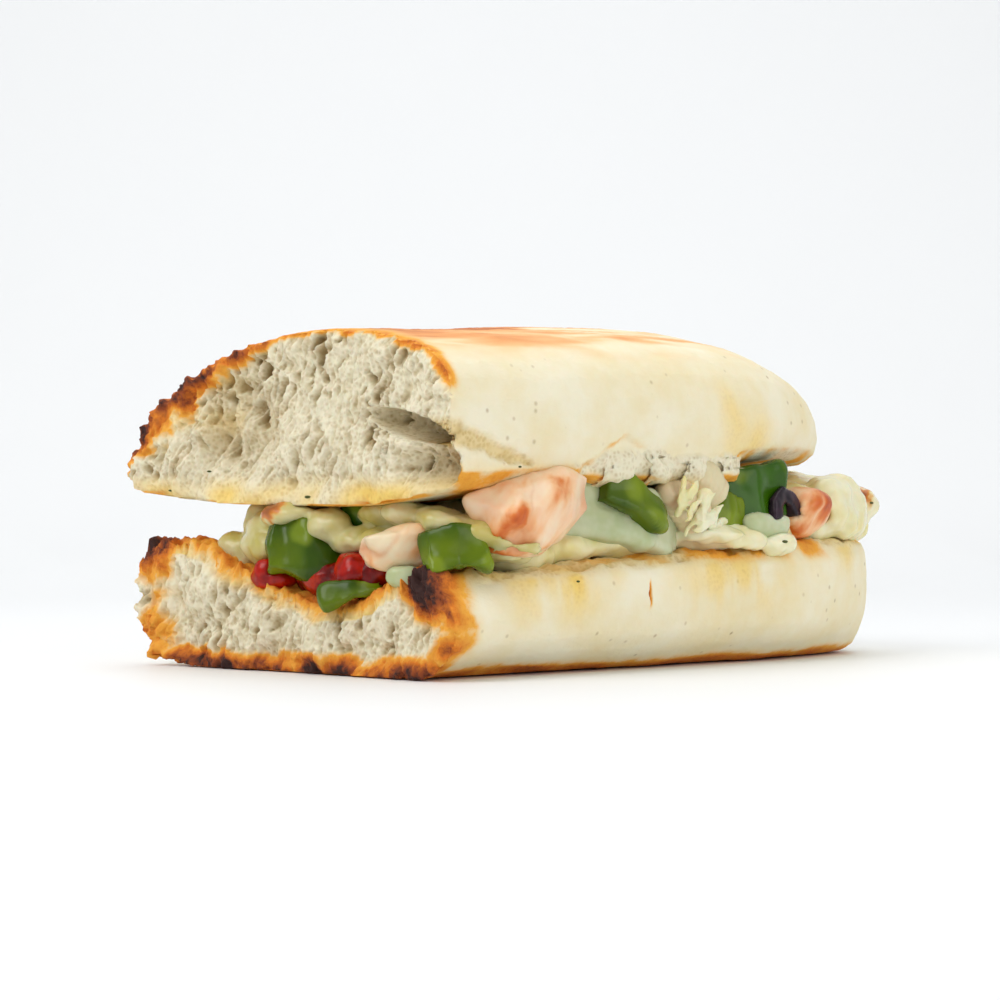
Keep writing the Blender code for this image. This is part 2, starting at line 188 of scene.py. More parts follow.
def inside_strip(point):
    """Whether a point lies on the torn strip of crumb rather than on the bread it hangs from."""
    if point.z > 0.0402 or not -0.044 < point.x < 0.013:
        return False
    return any(Vector(((point.x * 1000 - x) / a, (point.y * 1000 - y) / b, (point.z * 1000 - z) / c)).length < 1.25
               for (x, y, z), (a, b, c), _ in INNER_STRIP)


def crust_tear(point):
    """1 in the gash that runs along the front crust from the torn corner."""
    way = (point.x + 0.0655) / 0.0175
    line = mix(0.0418, 0.0372, way) + 0.0007 * noise.noise(point / 0.0022)
    across = abs(point.z - line) / (0.0019 * math.sqrt(max(0.02, 1 - way)))
    return smooth(1.5 - across) if way < 1 and point.y < front_y + 0.006 else 0.0


def upper_crumb_share(point, normal):
    """1 on torn crumb, 0 on crust: the torn face, the pocket in it and the sliced underside."""
    ragged = 0.30 * noise.noise(point / 0.0026)
    torn = smooth((-normal.x - 0.42 + ragged) / 0.25) * smooth((torn_x + 0.011 - point.x) / 0.003)
    in_pocket = point.x > torn_x + 0.0006 and pocket_reach(point) < 1.25 and point.y > front_y + 0.0022
    sliced = smooth((-normal.z - 0.45) / 0.3) * smooth((0.043 - point.z) / 0.003)
    corner = smooth((-normal.x - 0.05 + ragged) / 0.2) * smooth((torn_x + 0.007 - point.x) / 0.002)
    corner *= smooth((0.0425 - point.z) / 0.002)
    strip = 1.0 if inside_strip(point) else 0.0
    return max(torn, 1.0 if in_pocket else 0.0, sliced, corner, strip, crust_tear(point))


refine(upper, lambda c, n: c.x < torn_x + 0.0050 or pocket_reach(c) < 1.2 or inside_strip(c) or crust_tear(c) > 0.05)
refine(upper, lambda c, n: c.x < torn_x + 0.0035 and n.x < -0.25)

mesh = upper.data
points = [v.co.copy() for v in mesh.vertices]
normals = [v.normal.copy() for v in mesh.vertices]
crumb = [upper_crumb_share(p, n) for p, n in zip(points, normals)]
to_crust = nearest(points, [c < 0.3 and p.x < torn_x + 0.02 for c, p in zip(crumb, points)])
to_crumb = nearest(points, [c > 0.7 and n.x < -0.4 for c, n in zip(crumb, normals)])
painted_crumb_shade, toast, butter, ridge = [], [], [], []
for i, vertex in enumerate(mesh.vertices):
    p, n, c = points[i], normals[i], crumb[i]
    torn = c * smooth((-n.x - 0.2) / 0.3)
    # how far round the rim: the long rear slope and the ridge are the most toasted
    rear = smooth((p.y - 0.002) / 0.030)
    lip = smooth((0.0365 - p.z) / 0.0045)
    uneven = fractal(p, 0.0045, 3)
    # torn face
    depth, pore_shade_share = crumb_relief(p, lip)
    deep_pull = smooth(1.15 - (Vector((0, (p.y - 0.017) / 0.016, (p.z - 0.045) / 0.012))).length)
    strands = 0.5 + 0.9 * noise.noise(Vector((0, p.y / 0.0030 + p.z / 0.016, p.z / 0.012)))
    flap = smooth(1.2 - (Vector((0, (p.y + 0.0400) / 0.013, (p.z - 0.0370) / 0.0045))).length)
    pull = 0.0030 * fractal(p, 0.013, 3) + 0.0048 * deep_pull * strands + 0.0052 * flap
    width = mix(0.0016, 0.0064, rear) * (1 + 0.55 * uneven) * smooth((p.z - 0.034) / 0.006)
    clear = smooth(2 * pocket_reach(p) - 2.1)  # 0 in and beside the pocket, which is not toasted
    rim = smooth(1 - to_crust[i] / max(width, 0.0003)) * torn * clear
    move = Vector((1, 0, 0)) * torn * (depth * (1 - 0.7 * rim) + pull * (1 - rim) * smooth(to_crust[i] / 0.003))
    gash, strip = crust_tear(p), inside_strip(p)
    move += Vector((0, 1, 0)) * gash * (0.0009 + 0.7 * depth)
    if strip:
        move += n * (0.0004 + 0.0012 * fractal(p, 0.0050, 3)) - n * 0.15 * depth
    # crags along the toasted rear rim
    crag = smooth(1 - abs(to_crust[i] + to_crumb[i]) / 0.003) * rear
    move += n * crag * (0.0004 + 0.0016 * fractal(p, 0.0024, 3))
    burnt_tip = smooth(1 - to_crumb[i] / 0.0035) * smooth((p.y - 0.034) / 0.008) * smooth((p.z - 0.036) / 0.004)
    move += Vector((-0.5, 1, 0)) * burnt_tip * max(0.0, 0.0022 * fractal(p, 0.0032, 3))
    move += n * (1 - c) * (0.00055 * fractal(p, 0.020, 2) + 0.00010 * fractal(p, 0.0016, 2))
    vertex.co = p + move
    in_pocket = smooth(4.3 - 4 * pocket_reach(p)) * c * smooth((p.x - torn_x - 0.0015) / 0.002)
    pocket_shade = in_pocket * (0.25 + 0.75 * smooth((-0.026 - p.y) / 0.014))
    # painted shade in the crumb: its pores, the slit pocket, the deeply pulled crumb, the recess under the torn flap
    # and the gash in the front crust are coloured darker where shade falls in them
    painted_crumb_shade.append(max(torn * pore_shade_share, pocket_shade, 0.35 * deep_pull * torn * strands, 0.60 * flap * torn,
                      gash * (0.15 + 0.4 * pore_shade_share), -0.6 * strip))
    # toasting: strongest right at the rim, fading into the crumb and over the crust
    edge_fade = smooth(1 - to_crumb[i] / mix(0.0030, 0.0075, smooth((p.z - 0.056) / 0.006)))
    dark = mix(0.42, 0.86, rear) * smooth((p.z - mix(0.0470, 0.034, rear)) / 0.006)
    crust_toast = (1 - c) * edge_fade * dark * (0.80 + 0.5 * uneven) * clear
    rim_toast = rim * (dark + 0.08) * (0.86 + 0.55 * uneven)
    tips = smooth((p.y - 0.037) / 0.006) * smooth((p.z - 0.038) / 0.004) * 0.40 * torn
    low_lobe = 0.55 * smooth(1 - (p - Vector((torn_x, rear_y - 0.001, 0.0325))).length / 0.004)
    under_edge = 0.24 * clear * smooth((-n.z - 0.40) / 0.3) * smooth(0.55 + 1.4 * noise.noise(p / 0.006))
    strip_edge = 0.34 * smooth((0.0352 - p.z) / 0.002) * strip * smooth(0.7 + 1.5 * noise.noise(p / 0.004))
    flap_burn = 0.9 * smooth(1.3 - (p - Vector((torn_x + 0.002, front_y + 0.001, 0.0350))).length / 0.0026)
    toast.append(min(1.0, max(crust_toast, rim_toast, tips * (1 + uneven), low_lobe, under_edge, strip_edge, flap_burn, 0)))
    # the lower lip of the torn crumb takes the butter colour partly as a real oil stain, partly as painted shade of the
    # lip above the filling
    oil_and_lip_shade = lip * c * (0.52 + 0.9 * noise.noise(p / 0.007))
    oil_and_lip_shade += 0.6 * torn * rear * smooth((p.z - 0.038) / 0.010) * (0.40 + 1.3 * noise.noise(p / 0.006))
    dribble = (1 - c) * smooth(1.1 - abs(p.x - 0.008 - 0.4 * (0.048 - p.z)) / 0.012) * smooth((-p.y - 0.02) / 0.01)
    oil_and_lip_shade += 0.75 * dribble * smooth(0.50 + 1.3 * noise.noise(Vector((p.x / 0.007, 0, p.z / 0.016)))) * smooth((0.058 - p.z) / 0.01)
    low_edge = smooth((0.0395 - p.z) / 0.005) * (1 - c) * smooth((-p.x - 0.020) / 0.02)
    oil_and_lip_shade += 0.45 * gash + 0.80 * low_edge * (0.55 + 0.9 * noise.noise(p / 0.008))
    butter.append(min(1.0, max(0.0, oil_and_lip_shade)))
    streak = fractal(Vector((p.x * 0.28 + p.y * 0.5, p.y, p.z * 0.5)), 0.0062, 3)
    height = smooth((p.z - 0.0535) / 0.0095)
    torn_share = smooth((-0.015 - p.x) / 0.030)
    ridge.append(max(0.0, (1 - c) * height * (0.42 + 0.75 * streak + 0.42 * torn_share) * smooth((0.052 - p.x) / 0.035)))
attribute(upper, "crumb", crumb)
attribute(upper, "painted_crumb_shade", painted_crumb_shade)
attribute(upper, "toast", toast)
attribute(upper, "butter", butter)
attribute(upper, "ridge", ridge)


def noise_colour(nodes, links, scale, detail=4.0, roughness=0.6):
    """A noise pattern on the piece's own coordinates; returns its factor output."""
    place = nodes.new("ShaderNodeTexCoord")
    pattern = nodes.new("ShaderNodeTexNoise")
    pattern.inputs["Scale"].default_value = scale
    pattern.inputs["Detail"].default_value = detail
    pattern.inputs["Roughness"].default_value = roughness
    links.new(place.outputs["Object"], pattern.inputs["Vector"])
    return pattern.outputs["Fac"]


def ramp(nodes, links, factor, stops):
    """A colour ramp; stops are (position, colour)."""
    made = nodes.new("ShaderNodeValToRGB")
    elements = made.color_ramp.elements
    while len(elements) < len(stops):
        elements.new(0.5)
    for element, (position, colour) in zip(elements, stops):
        element.position = position
        element.color = (*colour, 1)
    links.new(factor, made.inputs["Fac"])
    return made.outputs["Color"]


def blend(nodes, links, factor, first, second, kind="MIX"):
    """Mixes two colours; either may be an output or a colour."""
    made = nodes.new("ShaderNodeMix")
    made.data_type = "RGBA"
    made.blend_type = kind
    made.clamp_factor = True
    for socket, value in ((made.inputs[0], factor), (made.inputs[6], first), (made.inputs[7], second)):
        if isinstance(value, bpy.types.NodeSocket):
            links.new(value, socket)
        elif isinstance(value, (int, float)):
            socket.default_value = value
        else:
            socket.default_value = (*value, 1)
    return made.outputs[2]


def maths(nodes, links, operation, first, second):
    made = nodes.new("ShaderNodeMath")
    made.operation = operation
    made.use_clamp = True
    for socket, value in zip(made.inputs, (first, second)):
        if isinstance(value, bpy.types.NodeSocket):
            links.new(value, socket)
        else:
            socket.default_value = value
    return made.outputs[0]


def layer_value(nodes, name):
    made = nodes.new("ShaderNodeAttribute")
    made.attribute_name = name
    return made.outputs["Fac"]


def new_finish(name, roughness, subsurface=0.0, subsurface_scale=0.002, coat=0.0):
    finish = bpy.data.materials.new(name)
    finish.use_nodes = True
    nodes, links = finish.node_tree.nodes, finish.node_tree.links
    shader = nodes["Principled BSDF"]
    shader.inputs["Roughness"].default_value = roughness
    shader.inputs["Subsurface Weight"].default_value = subsurface
    shader.inputs["Subsurface Scale"].default_value = subsurface_scale
    shader.inputs["Coat Weight"].default_value = coat
    shader.inputs["Coat Roughness"].default_value = 0.12
    return finish, nodes, links, shader


def add_bump(nodes, links, shader, height, strength, distance):
    made = nodes.new("ShaderNodeBump")
    made.inputs["Strength"].default_value = strength
    made.inputs["Distance"].default_value = distance
    links.new(height, made.inputs["Height"])
    links.new(made.outputs["Normal"], shader.inputs["Normal"])


def cells(nodes, links, scale, reach):
    """1 at the middle of scattered cells, falling to 0 at `reach` of a cell's width."""
    place = nodes.new("ShaderNodeTexCoord")
    pattern = nodes.new("ShaderNodeTexVoronoi")
    pattern.inputs["Scale"].default_value = scale
    links.new(place.outputs["Object"], pattern.inputs["Vector"])
    return maths(nodes, links, "SUBTRACT", 1.0, maths(nodes, links, "DIVIDE", pattern.outputs["Distance"], reach))


def bread_finish(name):
    """Pale crust, white crumb with painted shade turning its pores and recesses tan, butter stains and toasting from
    gold to black.
    """
    finish, nodes, links, shader = new_finish(name, 0.72, 0.10, 0.002)
    shader.inputs["Specular IOR Level"].default_value = 0.3
    cloudy = noise_colour(nodes, links, 90, 3)
    fine = noise_colour(nodes, links, 900, 3, 0.7)
    crust = ramp(nodes, links, cloudy, [(0.35, (0.86, 0.80, 0.60)), (0.66, (0.82, 0.71, 0.43))])
    crust = blend(nodes, links, maths(nodes, links, "MULTIPLY", fine, 0.25), crust, (0.87, 0.81, 0.65))
    specks = maths(nodes, links, "MULTIPLY", cells(nodes, links, 230, 0.13), 1.4)
    crust = blend(nodes, links, maths(nodes, links, "MULTIPLY", specks, noise_colour(nodes, links, 140, 2)), crust, (0.36, 0.24, 0.10))
    browned = ramp(nodes, links, layer_value(nodes, "ridge"),
                   [(0.0, (0.84, 0.74, 0.48)), (0.35, (0.84, 0.54, 0.25)), (0.7, (0.78, 0.33, 0.11)), (1.0, (0.52, 0.15, 0.035))])
    crust = blend(nodes, links, maths(nodes, links, "MULTIPLY", layer_value(nodes, "ridge"), 2.2), crust, browned)
    # pinholes: tiny crumb pores, painted dark as shade and also pitted into the bump
    pinholes = maths(nodes, links, "MULTIPLY", cells(nodes, links, 1150, 0.60),
                     maths(nodes, links, "SUBTRACT", noise_colour(nodes, links, 420, 3), 0.22))
    # painted shade: the crumb shade layer and the pinholes darken the crumb to tan and brown, and the butter stain to a
    # deeper brown
    crumb_shade_and_pinholes = maths(nodes, links, "ADD", layer_value(nodes, "painted_crumb_shade"), pinholes)
    inside = ramp(nodes, links, crumb_shade_and_pinholes,
                  [(0.0, (0.82, 0.76, 0.57)), (0.28, (0.64, 0.55, 0.36)), (0.65, (0.42, 0.32, 0.165)), (1.0, (0.27, 0.18, 0.07))])
    colour = blend(nodes, links, layer_value(nodes, "crumb"), crust, inside)
    colour = blend(nodes, links, layer_value(nodes, "butter"), colour, blend(nodes, links, crumb_shade_and_pinholes, (0.86, 0.62, 0.17), (0.58, 0.33, 0.06)))
    speckled = maths(nodes, links, "ADD", layer_value(nodes, "toast"),
                     maths(nodes, links, "MULTIPLY", maths(nodes, links, "SUBTRACT", fine, 0.45),
                           maths(nodes, links, "MULTIPLY", layer_value(nodes, "toast"), 1.3)))
    toasted = ramp(nodes, links, speckled,
                   [(0.0, (0.86, 0.62, 0.25)), (0.22, (0.84, 0.40, 0.05)), (0.45, (0.66, 0.19, 0.014)),
                    (0.70, (0.28, 0.06, 0.012)), (0.97, (0.040, 0.013, 0.010))])
    colour = blend(nodes, links, maths(nodes, links, "MULTIPLY", speckled, 4.5), colour, toasted)
    links.new(colour, shader.inputs["Base Color"])
    holes = maths(nodes, links, "MULTIPLY", pinholes, layer_value(nodes, "crumb"))
    add_bump(nodes, links, shader, maths(nodes, links, "SUBTRACT", fine, holes), 0.45, 0.0004)
    return finish


BREAD_FINISH = bread_finish("toasted_bread")
upper.data.materials.append(BREAD_FINISH)
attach(upper, "root")
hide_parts("upper_bread")

# ---- Lower bread -----------------------------------------------------------------------------
# The bottom half of the same roll. Its sliced top is hollowed by the filling and stained by
# sauce; the base is baked brown, and the torn rim is toasted nearly black at the front corner.

lower = dough_from("lower_bread", "lower_bread_look", 0.00095)
floor_tear_x = lower_low.x + 0.0018


def lower_crumb_share(point, normal):
    torn = smooth((-normal.x - 0.42) / 0.25) * smooth((floor_tear_x + 0.009 - point.x) / 0.003)
    sliced = smooth((normal.z - 0.55) / 0.3) * smooth((point.z - 0.008) / 0.002)
    return max(torn, sliced)


refine(lower, lambda c, n: c.x < floor_tear_x + 0.0055 or (c.x < floor_tear_x + 0.014 and n.z > 0.4 and c.z > 0.008))
refine(lower, lambda c, n: c.x < floor_tear_x + 0.004 and n.x < -0.25)
for _ in range(2):
    refine(lower, lambda c, n: abs(c.x + 0.0211) < 0.002 and abs(c.z - 0.014) < 0.004 and n.y < -0.5)

mesh = lower.data
points = [v.co.copy() for v in mesh.vertices]
normals = [v.normal.copy() for v in mesh.vertices]
crumb = [lower_crumb_share(p, n) for p, n in zip(points, normals)]
to_crust = nearest(points, [c < 0.3 and p.x < floor_tear_x + 0.02 for c, p in zip(crumb, points)])
to_torn = nearest(points, [c > 0.7 and n.x < -0.4 for c, n in zip(crumb, normals)])
painted_crumb_shade, toast, butter, ridge = [], [], [], []
for i, vertex in enumerate(mesh.vertices):
    p, n, c = points[i], normals[i], crumb[i]
    torn = c * smooth((-n.x - 0.2) / 0.3)
    uneven = fractal(p + Vector((0.3, 0, 0)), 0.0045, 3)
    base = smooth(1 - (p.z - 0.0008) / 0.0075)
    front = smooth((-p.y - 0.030) / 0.008)
    rear = smooth((p.y - 0.030) / 0.008)
    depth, pore_shade_share = crumb_relief(p + Vector((0.5, 0, 0)), 0.2)
    pull = 0.0026 * fractal(p + Vector((0.2, 0, 0)), 0.012, 3)
    width = (0.0082 * base + 0.0036 * front + 0.0015 * rear * base) * (1 + 0.45 * uneven)
    rim = smooth(1 - to_crust[i] / max(width, 0.0003)) * torn
    move = Vector((1, 0, 0)) * torn * (depth * (1 - 0.7 * rim) + pull * smooth(to_crust[i] / 0.003))
    near_edge = smooth(1 - (to_crust[i] + to_torn[i]) / 0.0028)
    move += n * near_edge * (base * 0.6 + rear + front * 0.6) * 0.0014 * (0.3 + fractal(p, 0.0024, 3))
    move += n * (1 - c) * (0.00060 * fractal(p, 0.022, 2) + 0.00010 * fractal(p, 0.0016, 2))
    bed_crumb = c * (1 - torn) * smooth((n.z - 0.4) / 0.3)
    at_tear = smooth((floor_tear_x + 0.013 - p.x) / 0.006)
    move += Vector((0, 0, 1)) * bed_crumb * (0.0024 * at_tear - 0.7 * depth + (0.0007 + 0.0012 * at_tear) * fractal(p, 0.005, 3))
    # the front rim rolls inwards at the torn corner, where it baked hard
    roll = smooth((p.z - 0.009) / 0.012) * smooth((-p.y - 0.020) / 0.020) * smooth((floor_tear_x + 0.026 - p.x) / 0.022)
    move += Vector((0, 0.0062 * roll, -0.0006 * roll))
    # a short crack in the front crust
    along = p.x + 0.0211 - 0.12 * (p.z - 0.014) - 0.0006 * noise.noise(p / 0.002)
    crack = smooth(1 - abs(along) / 0.00045) * smooth(1 - abs(p.z - 0.0140) / 0.0032) * smooth((-p.y - 0.03) / 0.01)
    move += Vector((0, 1, 0)) * 0.0009 * crack
    tuck = smooth((0.0075 - p.z) / 0.0075) * (1 - c)
    move += Vector((0, -math.copysign(0.0022 * tuck * smooth((abs(p.y) - 0.025) / 0.015), p.y), 0))
    co = p + move
    vertex.co = Vector((co.x, co.y, max(co.z, 0.0))) if p.z > 0.0003 else Vector((co.x, co.y, max(p.z, 0.0)))
    # painted shade in the pores of the torn face and the sliced bed, darkening them towards tan
    painted_crumb_shade.append(max(torn * (1 - 0.5 * rim), bed_crumb) * pore_shade_share)
    # the burnt front corner, the browned base and rim, and the sauce-stained scoop
    corner = smooth(1.15 - (p - Vector((floor_tear_x, lower_low.y + 0.0065, 0.0180))).length / 0.0095)
    far_corner = smooth(1 - (p - Vector((floor_tear_x, lower_high.y - 0.005, 0.0215))).length / 0.0085)
    over_crust = smooth(1 - to_torn[i] / (0.0065 + 0.003 * uneven))
    crust_toast = (1 - c) * over_crust * mix(0.34, 0.55, base) * (0.9 + 0.6 * uneven) * (1 - 0.6 * rear * smooth((p.z - 0.005) / 0.004))
    rim_toast = rim * (0.46 + 0.30 * smooth(1 - p.z / 0.004)) * (0.95 + 0.8 * uneven)
    bottom_line = smooth(1 - (p.z - 0.0002) / 0.0026) * (0.32 + 0.30 * uneven)
    under = smooth((-n.z - 0.8) / 0.15) * (0.36 + 0.3 * noise.noise(p / 0.012))
    burnt = max(corner * (1.15 + 0.5 * uneven), far_corner * (0.85 + 0.6 * uneven))
    rear_patch = torn * rear * smooth(0.15 + 1.4 * noise.noise(p / 0.006)) * smooth((0.016 - p.z) / 0.004) * 0.36
    rim_top = smooth((p.z - 0.0185) / 0.003) * smooth((-p.y - 0.034) / 0.004)
    top_stain = rim_top * smooth((0.6 + noise.noise(p / 0.007)) / 0.8) * 0.30 * smooth((0.045 - p.x) / 0.02)
    # the 0.75 * crack term paints the crack in the front crust dark, as shade inside it
    toast.append(min(1.0, max(crust_toast, rim_toast, bottom_line, under, burnt, rear_patch, top_stain, 0.75 * crack, 0)))
    hollow_line = 0.0080 + 0.30 * abs(p.y + 0.006) + 0.0015 * noise.noise(p / 0.004)
    scoop = c * smooth((p.z - hollow_line) / 0.0035) * smooth((0.030 - abs(p.y + 0.006)) / 0.008)
    toast[-1] = max(toast[-1], scoop * (0.20 + 0.16 * uneven), bed_crumb * at_tear * (0.31 + 0.22 * uneven))
    bed = smooth((n.z - 0.5) / 0.3) * smooth((p.z - 0.006) / 0.002) * (0.55 + 0.5 * noise.noise(p / 0.007))
    drip_end = mix(0.006, 0.019, 0.5 + 0.7 * noise.noise(Vector((p.x / 0.006, 0, 3))))
    run_down = smooth((p.z - drip_end) / 0.009) * (1 - c) * smooth((-p.y - 0.025) / 0.008)
    run_down *= smooth(0.35 + 1.6 * noise.noise(Vector((p.x / 0.013, 7, p.z / 0.03))))
    soaked_side = smooth(1.2 - abs(p.x + 0.044) / 0.014) + 0.7 * smooth(1.2 - abs(p.x - 0.004) / 0.020)
    soaked_side *= smooth((p.z - 0.005) / 0.014) * (1 - c) * smooth((-p.y - 0.025) / 0.008)
    soaked_side *= smooth(0.56 + 1.1 * fractal(Vector((p.x / 1.0, 0, p.z / 2.2)), 0.0062, 3))
    butter.append(min(1.0, max(scoop * 0.9, bed, 0.85 * run_down, 1.2 * soaked_side, 0.0)))
    ridge.append(0.0)
attribute(lower, "crumb", crumb)
attribute(lower, "painted_crumb_shade", painted_crumb_shade)
attribute(lower, "toast", toast)
attribute(lower, "butter", butter)
attribute(lower, "ridge", ridge)
lower.data.materials.append(BREAD_FINISH)
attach(lower, "root")
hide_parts("lower_bread")

# ---- Tomato sauce ----------------------------------------------------------------------------
# Thick cooked tomato sauce pooled in the hollow of the lower bread; dark red, wet and lumpy.


def filling_from(node, grain, rounds, shape, lumps=()):
    """A piece of filling from its CAD solid: even mesh, softened, each point moved by shape(p, n)."""
    obj = dough_from(node, node + "_look", grain, rounds, lumps)
    moved = [v.co + shape(v.co.copy(), v.normal.copy()) for v in obj.data.vertices]
    for vertex, co in zip(obj.data.vertices, moved):
        vertex.co = co
    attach(obj, "root")
    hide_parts(node)
    return obj


def sauce_finish():
    finish, nodes, links, shader = new_finish("tomato_sauce", 0.24, 0.06, 0.002)
    shader.inputs["Specular IOR Level"].default_value = 0.25
    cloudy = noise_colour(nodes, links, 260, 4)
    colour = ramp(nodes, links, cloudy, [(0.35, (0.07, 0.0008, 0.0004)), (0.52, (0.17, 0.002, 0.0008)), (0.70, (0.42, 0.022, 0.0015))])
    links.new(colour, shader.inputs["Base Color"])
    add_bump(nodes, links, shader, cloudy, 0.3, 0.0005)
    return finish


SAUCE_LUMPS = [((-63, -3, 16.6), (4.5, 8, 3.4), (0, 0, 0)), ((-62, -13, 18.2), (4.5, 6.5, 4.0), (0, 0, 0))]
sauce = filling_from("tomato_sauce", 0.0006, 3, lambda p, n: n * (0.0004 + 0.0009 * fractal(p, 0.0040, 3)), SAUCE_LUMPS)
sauce.data.materials.append(sauce_finish())

# ---- Melted cheese ---------------------------------------------------------------------------
# White cheese melted over the filling and run together into one soft layer, with browned spots
# where it was exposed, and thin skins and strings where it stretched.


def cheese_finish():
    finish, nodes, links, shader = new_finish("melted_cheese", 0.26, 0.18, 0.003, 0.15)
    shader.inputs["Specular IOR Level"].default_value = 0.35
    cloudy = noise_colour(nodes, links, 110, 3)
    pale = ramp(nodes, links, cloudy, [(0.36, (0.82, 0.79, 0.56)), (0.64, (0.76, 0.68, 0.30))])
    # shaded_cheese: darker cheese with a yellower tone, painted shade for the enclosed torn end
    shaded_cheese = ramp(nodes, links, cloudy, [(0.36, (0.66, 0.62, 0.36)), (0.60, (0.50, 0.43, 0.12))])
    colour = blend(nodes, links, layer_value(nodes, "torn_end_shade"), pale, shaded_cheese)
    browned = ramp(nodes, links, layer_value(nodes, "browned"),
                   [(0.0, (0.78, 0.52, 0.10)), (0.5, (0.56, 0.18, 0.02)), (1.0, (0.20, 0.04, 0.01))])
    colour = blend(nodes, links, maths(nodes, links, "MULTIPLY", layer_value(nodes, "browned"), 2.5), colour, browned)
    links.new(colour, shader.inputs["Base Color"])
    add_bump(nodes, links, shader, noise_colour(nodes, links, 420, 3), 0.30, 0.0004)
    return finish


CHEESE_FINISH = cheese_finish()


def brown_spots(obj, spots):
    """Writes the browned layer; each (place, radius, strength) spot settles on the nearest surface."""
    placed = [(obj.closest_point_on_mesh(Vector(place) * 0.001)[1], radius * 0.001, strength) for place, radius, strength in spots]
    values = []
    for vertex in obj.data.vertices:
        p = vertex.co
        most = 0.0
        for place, radius, strength in placed:
            reach = radius * (1 + 0.6 * noise.noise(p / 0.0014))
            most = max(most, strength * smooth(1.25 - (p - place).length / reach))
        values.append(most)
    attribute(obj, "browned", values)


CHEESE_LUMPS = [  # draped over the peppers and the chicken at the torn end
    ((-66, 5, 28.4), (4.6, 6.5, 1.9), (-6, 0, 0)), ((-64.5, -4.5, 26.6), (3.6, 4.2, 3.0), (12, 0, 0)),
    ((-61, -15.5, 28.6), (5, 5.5, 2.0), (-4, 8, 0)), ((-61.5, -22.5, 28.4), (5.5, 5.5, 2.0), (4, 6, 0)),
    ((-60.5, -29.5, 27.6), (5, 5.5, 2.1), (12, 6, 0)), ((-58.5, -35.5, 26.0), (4.5, 5, 2.0), (24, 4, 0)),
    ((-63.5, 21.5, 21.0), (4.2, 4.2, 4.6), (0, 0, 0)), ((-62, 16.5, 26.0), (3.8, 3.8, 5.0), (14, 0, 0)),
    # packed between the pieces behind them
    ((-52, 12, 25), (6, 10, 6), (0, 0, 0)), ((-50, -4, 25), (6, 10, 6), (0, 0, 0)), ((-49, -20, 25), (6, 9, 6), (0, 0, 0)),
    # run out along the front rim
    ((-44, -33, 21.0), (8, 4.5, 3.0), (0, 0, 0)), ((-33, -33, 22.4), (8, 4.5, 3.0), (0, -4, 0)),
    ((-22, -33.5, 23.2), (8, 4.5, 3.0), (0, 3, 0)), ((-11, -33.5, 23.6), (8, 4.5, 3.0), (0, -3, 0)),
    ((0, -34, 24.0), (8, 4.5, 3.0), (0, 2, 0)), ((11, -34.5, 24.4), (8, 4.5, 3.0), (0, 0, 0)),
    ((24, -34, 25.2), (9, 4.5, 3.0), (0, 0, 0)), ((38, -32, 25.8), (9, 4.5, 3.2), (0, 0, 8)),
    ((7, -41.0, 23.6), (7, 2.6, 2.0), (0, 4, 0)), ((17, -41.5, 22.4), (4.5, 2.2, 2.4), (0, -10, 0)),
    # hanging over the round end
    ((50, -29, 29.0), (8, 6, 5.0), (0, 0, 25)), ((60, -23, 29.5), (7, 7, 5.0), (0, 0, 30)),
    ((66, -17, 26.0), (5, 6, 4.6), (0, 0, 0)), ((68.2, -16, 22.6), (3.0, 3.4, 3.4), (0, 0, 0))]

cheese = filling_from("melted_cheese", 0.0006, 4, lambda p, n: n * (
    0.0001 + 0.0011 * noise.noise(p / 0.0055) + 0.0005 * noise.noise(p / 0.0024)), CHEESE_LUMPS)
brown_spots(cheese, [((-58, -19, 31), 2.4, 0.7), ((-56, -26, 31), 2.2, 0.6), ((-70, 6, 30), 3.4, 0.9),
                     ((58, -30, 34), 3.6, 1.0), ((63, -26, 31), 2.2, 0.8), ((-46, -42, 23), 2.2, 0.5)])
# painted shade: the cheese at the torn end, enclosed between the breads, is coloured darker and yellower
attribute(cheese, "torn_end_shade", [smooth((-0.045 - v.co.x) / 0.012) for v in cheese.data.vertices])
cheese.data.materials.append(CHEESE_FINISH)

# ---- Green peppers ---------------------------------------------------------------------------
# Diced and sliced green pepper, baked until glossy and a little slack; dark skin and paler,
# yellower cut flesh.


def pepper_finish(name, dark, light):
    finish, nodes, links, shader = new_finish(name, 0.24, 0.05, 0.002)
    shader.inputs["Specular IOR Level"].default_value = 0.28
    cloudy = noise_colour(nodes, links, 60, 2)
    skin = ramp(nodes, links, cloudy, [(0.38, dark), (0.64, light)])
    colour = blend(nodes, links, layer_value(nodes, "flesh"), skin, (0.26, 0.34, 0.02))
    links.new(colour, shader.inputs["Base Color"])
    add_bump(nodes, links, shader, noise_colour(nodes, links, 500, 2), 0.12, 0.0003)
    return finish


PEPPER_FINISH = pepper_finish("green_pepper", (0.035, 0.080, 0.0006), (0.150, 0.215, 0.001))
DARK_PEPPER_FINISH = pepper_finish("dark_green_pepper", (0.010, 0.052, 0.0004), (0.035, 0.110, 0.0008))
for node in sorted(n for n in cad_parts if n.startswith("pepper")):
    low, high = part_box(node)
    thin = min(high - low)
    swing = min(0.0022, (0.16 if node == "pepper_front_dark" else 0.30) * thin)
    swell = {"pepper_front_corner": -0.0006, "pepper_sliver": -0.0001}.get(node, 0.0006)
    pepper = filling_from(node, 0.00036, 10, lambda p, n: n * (
        swell + swing * noise.noise(p / 0.0070) + 0.10 * swing * noise.noise(p / 0.0022)))
    edge = [0.45 * smooth((noise.noise(v.co / 0.0060 + Vector((9, 0, 0))) - 0.15) / 0.25) for v in pepper.data.vertices]
    attribute(pepper, "flesh", edge)
    pepper.data.materials.append(DARK_PEPPER_FINISH if node in ("pepper_front_dark", "pepper_under_crown") else PEPPER_FINISH)

